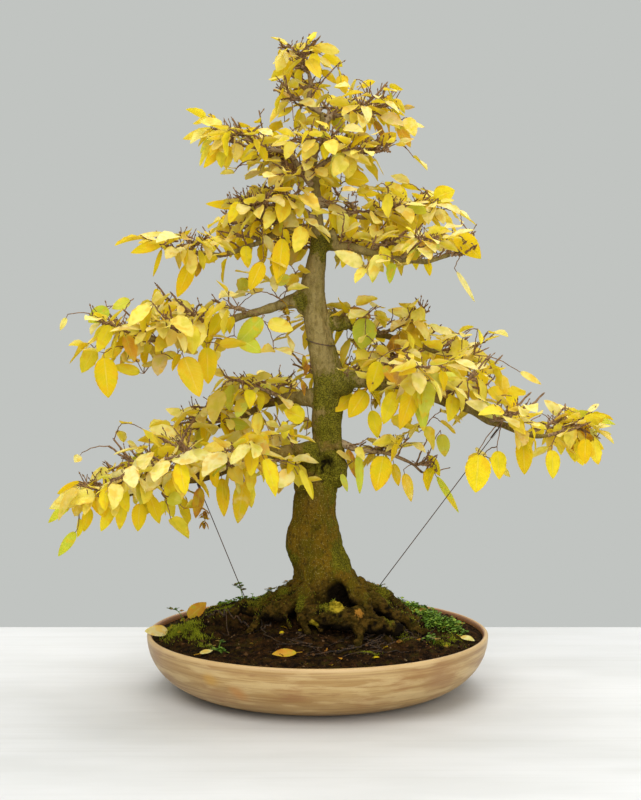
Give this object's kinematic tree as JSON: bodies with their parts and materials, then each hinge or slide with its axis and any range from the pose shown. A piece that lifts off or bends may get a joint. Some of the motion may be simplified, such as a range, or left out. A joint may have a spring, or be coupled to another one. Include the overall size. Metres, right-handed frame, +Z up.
{
  "type": "hornbeam bonsai",
  "caption": "Hornbeam bonsai in autumn leaf: a knotted trunk with layered leafy boughs on a mound of soil in a shallow oval ceramic bowl",
  "frame": {"origin": "middle of the bowl's flat base", "axes": "+Z up the trunk, +X to the right and +Y to the back, seen from the tree's front"},
  "size_m": [0.5496, 0.316, 0.6504],
  "materials": {
    "glaze": "streaky straw-tan satin glaze",
    "soil": "dark granular potting soil",
    "bark": "grey-tan bark, mossy and dark low down",
    "autumn": "yellow and gold autumn leaves on thin twigs",
    "weed": "small green weeds",
    "wire": "thin brown coated wire",
    "mesh": "dark plastic mesh"
  },
  "bodies": {
    "root": {"drain_mesh_left": "mesh", "drain_mesh_right": "mesh", "fallen_leaf_amber": "autumn", "fallen_leaf_front": "autumn", "fallen_leaf_orange": "autumn", "fallen_leaf_pale": "autumn", "fallen_leaf_rim": "autumn", "guy_wire_left": "wire", "guy_wire_right": "wire", "pot": "glaze", "soil": "soil", "spray_apex": "autumn", "spray_back_low": "autumn", "spray_back_mid": "autumn", "spray_back_top": "autumn", "spray_front_top": "autumn", "spray_left_low_back_1": "autumn", "spray_left_low_back_2": "autumn", "spray_left_low_back_3": "autumn", "spray_left_low_back_4": "autumn", "spray_left_low_front_1": "autumn", "spray_left_low_front_2": "autumn", "spray_left_low_front_3": "autumn", "spray_left_low_front_4": "autumn", "spray_left_low_front_5": "autumn", "spray_left_low_front_6": "autumn", "spray_left_mid_1": "autumn", "spray_left_mid_2": "autumn", "spray_left_mid_3": "autumn", "spray_left_mid_4": "autumn", "spray_left_mid_5": "autumn", "spray_left_top": "autumn", "spray_left_upper_1": "autumn", "spray_left_upper_2": "autumn", "spray_left_upper_3": "autumn", "spray_left_upper_4": "autumn", "spray_left_upper_high": "autumn", "spray_right_back_1": "autumn", "spray_right_back_2": "autumn", "spray_right_back_3": "autumn", "spray_right_back_4": "autumn", "spray_right_low": "autumn", "spray_right_main_1": "autumn", "spray_right_main_2": "autumn", "spray_right_main_3": "autumn", "spray_right_main_4": "autumn", "spray_right_main_5": "autumn", "spray_right_main_6": "autumn", "spray_right_upper_1": "autumn", "spray_right_upper_2": "autumn", "spray_right_upper_3": "autumn", "spray_right_upper_4": "autumn", "spray_right_upper_high": "autumn", "spray_top_right": "autumn", "spray_top_right_low": "autumn", "tree": "bark", "trunk_wire": "wire", "weed_sprig_edge": "weed", "weed_sprig_left": "weed", "weed_sprig_middle": "weed"}
  },
  "joints": []
}
